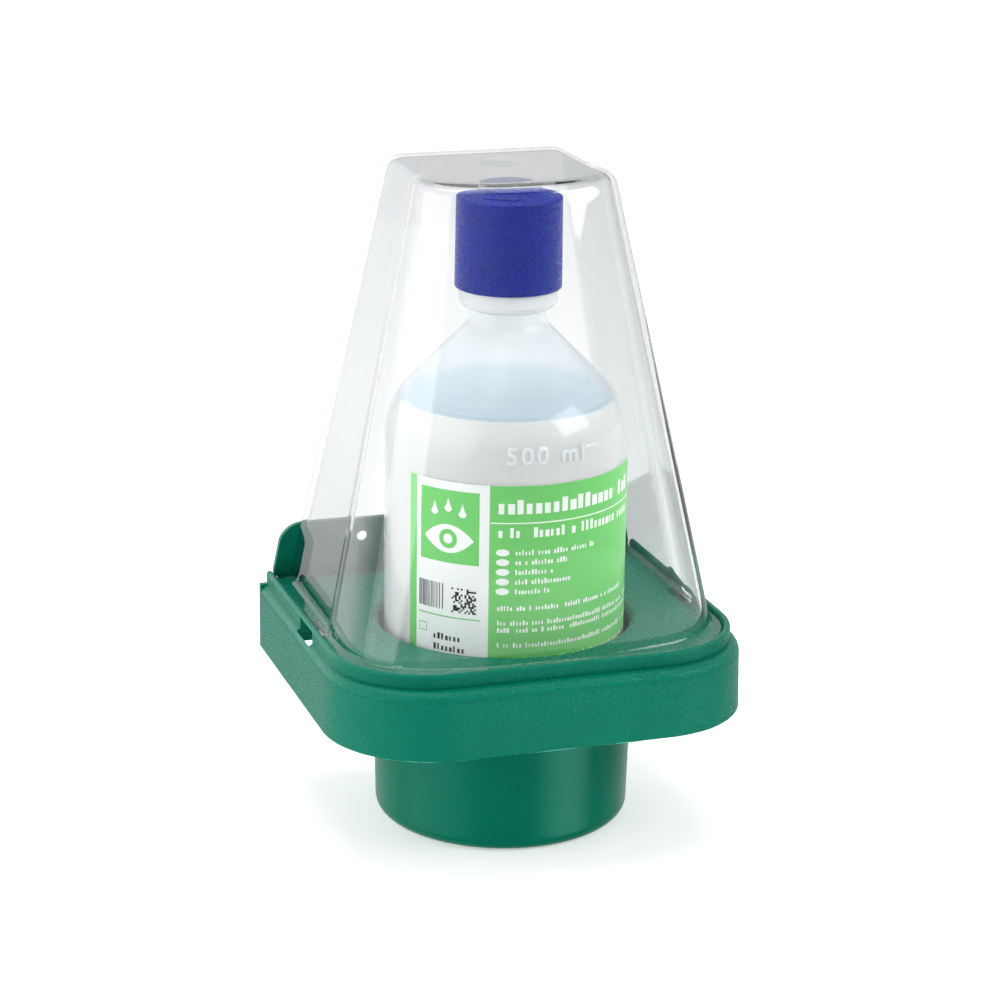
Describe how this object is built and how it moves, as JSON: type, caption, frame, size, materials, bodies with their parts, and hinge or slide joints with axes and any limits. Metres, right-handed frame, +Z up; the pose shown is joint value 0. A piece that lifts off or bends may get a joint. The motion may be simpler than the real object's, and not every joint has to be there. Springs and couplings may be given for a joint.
{
  "type": "eyewash station",
  "caption": "Moulded base with a cup that holds a squeeze bottle of eyewash under a clear lift-off cover, for a bench or a wall.",
  "frame": {"origin": "bottle axis at the underside of the cup's foot", "axes": "+Z up along the bottle, +Y towards the wall, +X to the right seen from the front"},
  "size_m": [0.1304, 0.1126, 0.202],
  "materials": {
    "green_moulding": "fine spark-eroded grain",
    "green_gloss": "smooth moulded",
    "clear_plastic": "clear moulded plastic",
    "natural_plastic": "translucent blown",
    "solution": "clear liquid",
    "label_film": "printed film",
    "blue_plastic": "fine grain"
  },
  "bodies": {
    "base": {"base_tray": "green_moulding", "bottle_cup": "green_gloss", "back_plate": "green_moulding"},
    "cover": {"clear_cover": "clear_plastic"},
    "bottle": {"bottle_shell": "natural_plastic", "eyewash_solution": "solution", "bottle_label": "label_film"},
    "seal": {"break_off_seal": "natural_plastic"},
    "cap": {"screw_cap": "blue_plastic"}
  },
  "joints": [
    {"name": "cover_lift", "type": "slide", "parent": "base", "child": "cover", "axis": [0, 0, 1], "range_m": [0, 0.4]},
    {"name": "bottle_lift", "type": "slide", "parent": "base", "child": "bottle", "axis": [0, 0, 1], "range_m": [0, 0.12]},
    {"name": "cap_lift", "type": "slide", "parent": "bottle", "child": "seal", "axis": [0, 0, 1], "range_m": [0, 0.04]},
    {"name": "cap_turn", "type": "hinge", "parent": "seal", "child": "cap", "pos_m": [0, 0, 0.18], "axis": [0, 0, 1], "range_deg": [0, 360]}
  ],
  "couplings": [
    {"joint": "bottle_lift", "follows": "cover_lift", "ratio": 0.3},
    {"joint": "cap_lift", "follows": "cover_lift", "ratio": 0.1}
  ]
}
